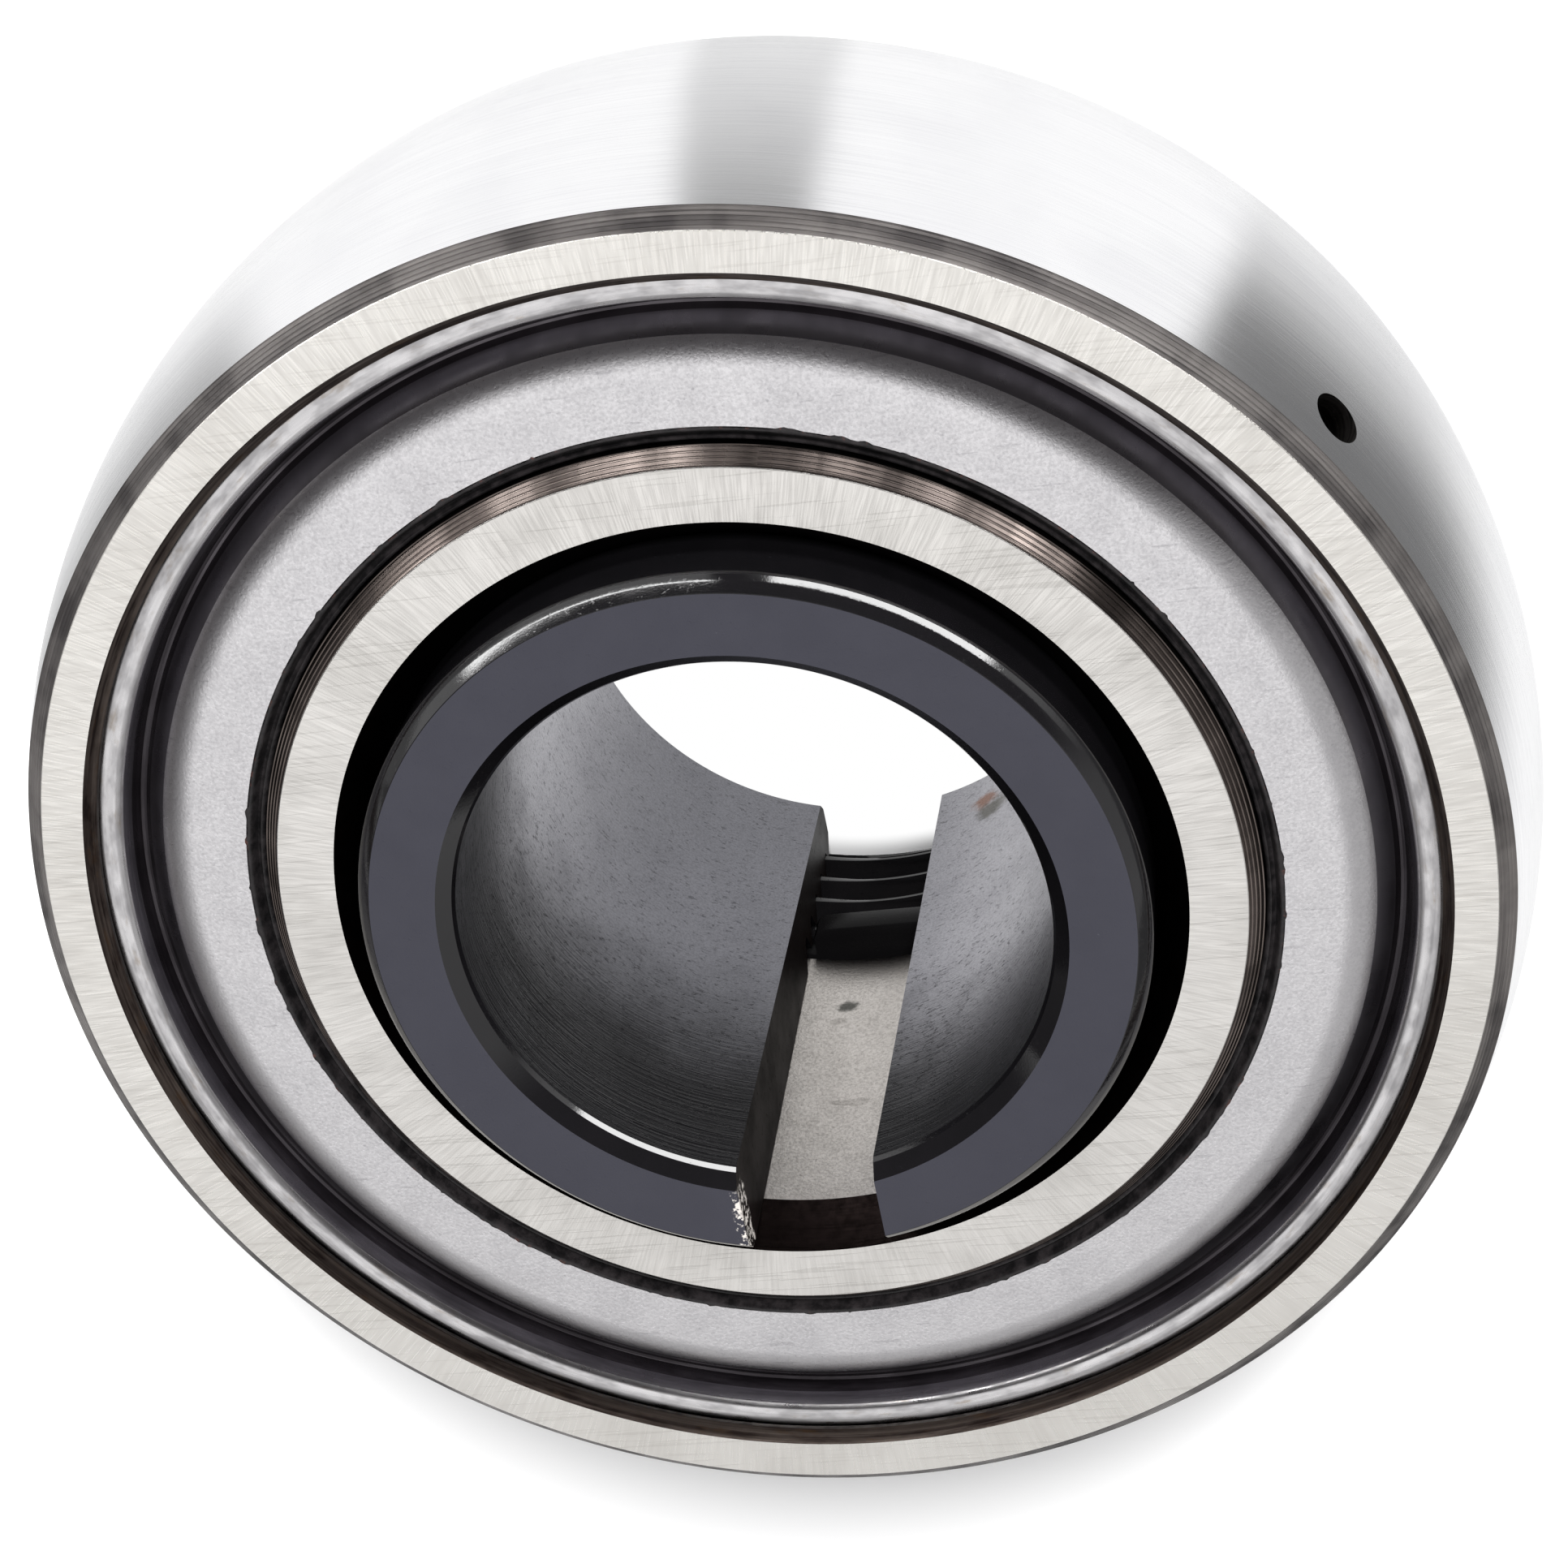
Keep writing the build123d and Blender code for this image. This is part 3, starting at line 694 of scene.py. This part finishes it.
def thread(a, z, crest, root, shift=0.0):
    """Radius of a 60 degree thread at an angle and a height."""
    phase = (z - THREAD_Z) / PITCH - (a + math.pi / 2) / TAU + 0.5 + shift
    d = abs(phase % 1.0 - 0.5) * 2         # 0 in the middle of the crest, 1 in the middle of the root
    s = min(1.0, max(0.0, (d - CREST_SHARE) / (1 - ROOT_SHARE - CREST_SHARE)))
    return crest + (root - crest) * s


def thread_rings(mat, radius, start, end):
    """Rings of a profile along a thread, from one height to another."""
    step = math.copysign(THREAD_STEP, end - start)
    out, z = [], start
    while (end - z) * step > 0:
        out.append((radius, z, mat))
        z += step
    return out


# ---------------------------------------------------------------- sleeve
SLEEVE_SHARP = 14.5             # below the angle between the two facets of the bore's mouth
END_R = 11.4                    # the lead at the thread's end
# the edge at the front, inwards from the cone and down from the top
SLEEVE_ROUND = ((0.47, 0.012), (0.21, 0.3), (0.19, 0.325), (0.165, 0.357), (0.05, 0.515), (0.03, 0.55),
                (0.012, 0.61), (0.002, 0.72))
# the mouth of the bore, outwards from the bore and down from the top
SLEEVE_MOUTH = ((0.0, 0.62), (0.10, 0.455), (0.54, 0.03))


def sleeve():
    mats = ["sleeve", "sleeve_side", "sleeve_bore", "slot_wall"]
    front_r = cone(SLEEVE_TOP - SLEEVE_EDGE) - CONE_GAP

    def outside(a, z):
        return min(thread(a, z, 12.40, 11.62, shift=0.5), END_R + (z - SLEEVE_END))

    p = band("sleeve", (10.57, SLEEVE_TOP))
    p += band("sleeve_side", (front_r - SLEEVE_EDGE, SLEEVE_TOP))
    p += band("sleeve_side", *[(front_r - r, SLEEVE_TOP - z) for r, z in SLEEVE_ROUND])
    p += band("sleeve_side", *[(cone(z) - CONE_GAP, z) for z in (7.0, 3.0, -2.0, -7.4)])
    p += band("sleeve_side", (12.42, -7.5))
    p += thread_rings("sleeve_side", outside, -7.6, SLEEVE_END + 1e-6)
    p += band("sleeve", (END_R, SLEEVE_END))
    p += band("sleeve_bore", (SLEEVE_BORE + 0.35, SLEEVE_END), (SLEEVE_BORE, SLEEVE_END + 0.35))
    p += band("sleeve_bore", *[(SLEEVE_BORE, z) for z in (-10.0, -4.0, 2.0, 7.0)])
    p += band("sleeve_side", *[(SLEEVE_BORE + r, SLEEVE_TOP - z) for r, z in SLEEVE_MOUTH])
    ob = lathe("sleeve_black", p, mats, "sleeve", "adapter_sleeve",
               segments=288, sharp=SLEEVE_SHARP)
    low, high = (-SLOT_HALF, -16, SLEEVE_END - 2), (SLOT_HALF, -6, SLEEVE_TOP + 2)
    cut(ob, [box_cutter("slot", low, high, mats, "slot_wall")], SLEEVE_SHARP)


# ---------------------------------------------------------------- washer
WASHER_HALF = 0.55              # half its thickness, bevel included
WASHER_BEVEL = 0.05
WASHER_R = 15.95
TABS = 13
TAB_R = 20.95
TAB_HALF = 2.25                 # half a tab's width
WASHER_BORE = 12.75
TANG_HALF = 2.2                 # half the tang's width
TANG_R = 11.45                  # how near to the axis the tang reaches
# rounded corners, along the tab or tang and sideways from its edge
TAB_CORNER = ((-0.5, 0.25), (-0.1, 0.7), (0.0, 1.1))
TANG_CORNER = ((0.35, 0.0), (0.08, 0.15), (0.0, 0.45))


def washer_outside():
    step = TAU / TABS
    half_root = math.asin(TAB_HALF / WASHER_R)
    root = math.sqrt(WASHER_R**2 - TAB_HALF**2)
    corner = [(root, -TAB_HALF)] + [(TAB_R + along, -TAB_HALF + side) for along, side in TAB_CORNER]
    tab = corner + [(along, -side) for along, side in reversed(corner)]
    points = []
    for i in range(TABS):
        mid = math.pi / 2 + i * step
        ax, ay = math.cos(mid), math.sin(mid)
        points += [(along * ax - side * ay, along * ay + side * ax) for along, side in tab]
        for k in range(1, 6):
            a = mid + half_root + (step - 2 * half_root) * k / 6
            points.append((WASHER_R * math.cos(a), WASHER_R * math.sin(a)))
    return points


def washer_inside():
    half = math.asin(TANG_HALF / WASHER_BORE)
    points = []
    for k in range(97):
        a = -math.pi / 2 + half + (TAU - 2 * half) * k / 96
        points.append((WASHER_BORE * math.cos(a), WASHER_BORE * math.sin(a)))
    corner = [(-TANG_HALF + side, -TANG_R - along) for along, side in TANG_CORNER]
    return points + corner + [(-x, y) for x, y in reversed(corner)]


def washer():
    curve = bpy.data.curves.new("washer", "CURVE")
    curve.dimensions = "2D"
    curve.fill_mode = "BOTH"
    curve.extrude = (WASHER_HALF - WASHER_BEVEL) * MM
    curve.bevel_depth = WASHER_BEVEL * MM
    curve.bevel_resolution = 1
    for points in (washer_outside(), washer_inside()):
        s = curve.splines.new("POLY")
        s.points.add(len(points) - 1)
        for q, (x, y) in zip(s.points, points):
            q.co = (x * MM, y * MM, 0, 1)
        s.use_cyclic_u = True
    tmp = add_object("washer_curve", curve)
    bpy.context.view_layer.update()
    mesh = bpy.data.meshes.new_from_object(tmp.evaluated_get(bpy.context.evaluated_depsgraph_get()))
    bpy.data.objects.remove(tmp)
    mesh.transform(Matrix.Translation((0, 0, (INNER_BACK - WASHER_HALF) * MM)))
    mesh.materials.clear()
    dress(mesh, ["washer"])
    piece("washer_black", mesh, "inner", "lock_washer", 40.0)


# ---------------------------------------------------------------- nut
NUT_BORE = 12.6
LEAD_R = 12.55                  # where the thread's leads start
KEY_HALF = 2.5                  # half the width of a spanner slot
KEY_R = 17.0                    # radius of its bottom
NUT_SHARP = 28.0
# its outside at the top, down from it, and at the end, up from it
NUT_FRONT = ((NUT_BORE, 0.0), (15.7, 0.0), (16.0, 0.04), (18.8, 0.47), (18.93, 0.55), (18.98, 0.7))
NUT_BACK = ((18.98, 1.0), (18.93, 0.86), (17.5, 0.05), (17.35, 0.0), (NUT_BORE, 0.0))


def nut():
    def inside(a, z):
        lead = LEAD_R - min(NUT_TOP - z, z - NUT_END)
        return max(thread(a, z, 11.74, 12.52), lead)

    p = band("nut", *[(r, NUT_TOP - z) for r, z in NUT_FRONT], *[(r, NUT_END + z) for r, z in NUT_BACK])
    p += thread_rings("nut", inside, NUT_END + 0.03, NUT_TOP - 0.02)
    ob = lathe("nut_black", p, ["nut"], "nut", "lock_nut", segments=288, sharp=NUT_SHARP)
    low, high = (KEY_R, -KEY_HALF, NUT_END - 1), (21.0, KEY_HALF, NUT_TOP + 1)
    keys = [box_cutter(f"key{k}", low, high, ["nut"], "nut", math.radians(45 + 90 * k)) for k in range(4)]
    cut(ob, keys, NUT_SHARP)


outer_ring()
inner_ring()
seal("front", 1, 11)
seal("back", -1, 12)
sleeve()
washer()
nut()
for name, ob in frame["nodes"].items():
    kind = "ball" if name.startswith("ball") else "cage" if name.startswith("cage") else "plate"
    if not ob.hide_render:
        ob.data.materials.clear()
        ob.data.materials.append(MAT[kind])

# ---------------------------------------------------------------- floor
FLOOR_Z = NUT_END * MM - 0.00002    # 0.02 mm under the nut's end
FLOOR_HALF = 3                      # in metres
FLOOR_COLOUR = (0.93, 0.93, 0.93, 1.0)
FLOOR_LIFT = 0.05                   # its own faint glow, which softens the shadow
OPEN_R = (12.5, 11.5)               # inside these radii in mm it glows plain white for all but mirror rays, painted light in place of the shade under the bore, as seen through the bore
HORIZON = (130.0, 420.0)            # beyond these it is plain white for the camera, as the world is
FIELD_EDGE = 7.0                    # how far the fields' edges wander, in degrees


def floor():
    """White, with the object's shadow. Metal sees it white with three grey fields beside the bearing, which stand
    for dark places in the photographer's room."""
    h = FLOOR_HALF
    mesh = bpy.data.meshes.new("floor")
    mesh.from_pydata([(-h, -h, FLOOR_Z), (h, -h, FLOOR_Z), (h, h, FLOOR_Z), (-h, h, FLOOR_Z)], [], [(0, 1, 2, 3)])
    ob = add_object("floor", mesh)
    m = bpy.data.materials.new("floor")
    t = Tree(m)
    _, xyz, flat = t.place()
    dist = t.vec("LENGTH", flat)
    azimuth = t.degrees(xyz[0], xyz[1])
    grain = t.node("ShaderNodeCombineXYZ", X=t.mul(dist, 1.6), Y=t.mul(azimuth, 0.02)).outputs[0]
    azimuth = t.add(azimuth, t.mul(t.sub(t.noise(grain, 1.0, 4.0, 0.7), 0.5), FIELD_EDGE))
    # the fields lie at the top, right and left of the photograph; the top one, opposite the slot, is narrow
    depth = t.rng(dist, 20.0, 58.0, smooth=False)
    top = t.math("ABSOLUTE", t.sub(azimuth, 85.6))
    top = t.mul(t.rng(top, 8.6, 5.0), t.math("MULTIPLY_ADD", depth, 0.54, 0.12))
    # the right one has a straight and a slanted edge
    lean = t.math("MULTIPLY_ADD", t.sub(dist, 40.0), 1.05, azimuth)
    right = t.mul(t.rng(azimuth, 41.0, 36.0), t.rng(lean, -18.0, 9.0))
    right = t.mul(right, t.rng(dist, 22.0, 46.0, 0.1, 0.83))
    left = t.mul(t.rng(azimuth, 134.0, 144.0), t.rng(dist, 27.0, 50.0, 0.0, 0.62))
    fields = t.most(top, t.most(right, left))
    white = t.emission(1.0)
    mirrored = t.blend(fields, white, t.emission(0.0))
    paths = t.node("ShaderNodeLightPath").outputs
    diffuse = t.node("ShaderNodeBsdfDiffuse", Color=FLOOR_COLOUR).outputs[0]
    lit = t.node("ShaderNodeAddShader", i0=diffuse, i1=t.emission(1.0, FLOOR_LIFT)).outputs[0]
    horizon = t.mul(t.rng(dist, *HORIZON), paths["Is Camera Ray"])
    # painted light: under the bore the floor glows plain white in place of its shade; far off it is plain white
    # for the camera
    lit = t.blend(t.most(t.rng(dist, *OPEN_R), horizon), lit, white)
    t.node("ShaderNodeOutputMaterial", i0=t.blend(paths["Is Glossy Ray"], lit, mirrored))
    mesh.materials.append(m)
    m.cycles.emission_sampling = "NONE"


# ---------------------------------------------------------------- world and light
# Directions from the bearing: azimuths in degrees, heights as the sine of the elevation. Where two numbers
# stand together, a part of the room fades in from the first to the second.
PANEL = Vector((-0.20, -0.24, 0.95)).normalized()
PANEL_SPAN = (35, 20)           # in degrees from its middle
PANEL_END = (-0.70, -0.56)      # it ends straight on the slot's side
WALL_HEIGHT = (0.27, 0.14)
WALL_START = (-10.0, 25.0)
GAP = 88.6                      # the middle of the dark gap in wall and strips
GAP_HALF = (5.8, 7.4)
GLOW = (0.45, -0.75, 0.48)
GLOW_LEVEL = 0.42
ROOM = (0.064, 0.060, 0.063, 1.0)
BRIGHT = (1.1, 1.1, 1.1, 1.0)   # of panel, wall and glow
STRIP = (12.0, 12.0, 12.0, 1.0)
KEY_WAY = Vector((0.20, 0.66, 0.724)).normalized()
KEY_DISTANCE = 0.7              # in metres
KEY_SIZE = 0.15
KEY_WATTS = 8.0


def world():
    """White for the camera. All other rays see a soft panel overhead, a low pale wall on the side away from the
    slot with two narrow bright strips and a gap in it, a faint glow from the slot's side, and a dim room."""
    owner = bpy.data.worlds.new("world")
    bpy.context.scene.world = owner
    t = Tree(owner)
    way = t.vec("NORMALIZE", t.node("ShaderNodeTexCoord").outputs["Generated"])
    x, y, z = t.node("ShaderNodeSeparateXYZ", Vector=way).outputs
    azimuth = t.degrees(x, y)
    panel = t.rng(t.vec("DOT_PRODUCT", way, PANEL), *[math.cos(math.radians(a)) for a in PANEL_SPAN])
    panel = t.mul(panel, t.rng(y, *PANEL_END))
    gap = t.rng(t.math("ABSOLUTE", t.sub(azimuth, GAP)), *GAP_HALF)
    wall = t.mul(t.mul(t.rng(azimuth, *WALL_START), t.rng(z, *WALL_HEIGHT)), gap)
    # one strip lies low on the right of the gap, the other starts higher on its left and sinks away from it
    near = t.mul(t.rng(z, 0.26, 0.22), t.rng(z, 0.0, 0.03), t.rng(azimuth, 28.0, 32.0), t.rng(azimuth, 88.0, 86.0))
    slant = t.math("MULTIPLY_ADD", t.sub(azimuth, 95.0), 0.0032, z)
    far = t.mul(t.rng(slant, 0.32, 0.30), t.rng(slant, 0.22, 0.24), t.rng(azimuth, 88.0, 90.0),
                t.rng(azimuth, 156.0, 150.0))
    strips = t.mul(t.most(near, far), gap)
    glow = t.rng(t.vec("DOT_PRODUCT", way, GLOW), -0.4, 0.9)
    glow = t.mul(glow, t.rng(y, 0.25, -0.1, 0.0, GLOW_LEVEL))
    tone = t.mix(t.most(t.most(panel, glow), t.mul(wall, 0.8)), ROOM, BRIGHT)
    tone = t.mix(strips, tone, STRIP)
    room = t.node("ShaderNodeBackground", Color=tone, Strength=1.0).outputs[0]
    plain = t.node("ShaderNodeBackground", Color=(1.0, 1.0, 1.0, 1.0), Strength=1.0).outputs[0]
    paths = t.node("ShaderNodeLightPath").outputs
    t.node("ShaderNodeOutputWorld", i0=t.blend(paths["Is Camera Ray"], room, plain))


def key_light():
    """A small lamp from the photographer's side. It gives the shadow on the floor, and metal doesn't mirror it."""
    light = bpy.data.lights.new("key", "AREA")
    light.shape = "RECTANGLE"
    light.size = light.size_y = KEY_SIZE
    light.energy = KEY_WATTS
    ob = add_object("key", light)
    ob.location = KEY_WAY * KEY_DISTANCE
    ob.rotation_mode = "QUATERNION"
    ob.rotation_quaternion = KEY_WAY.to_track_quat("Z", "Y")
    ob.visible_glossy = False


floor()
world()
key_light()

bpy.context.scene.view_settings.view_transform = "Standard"
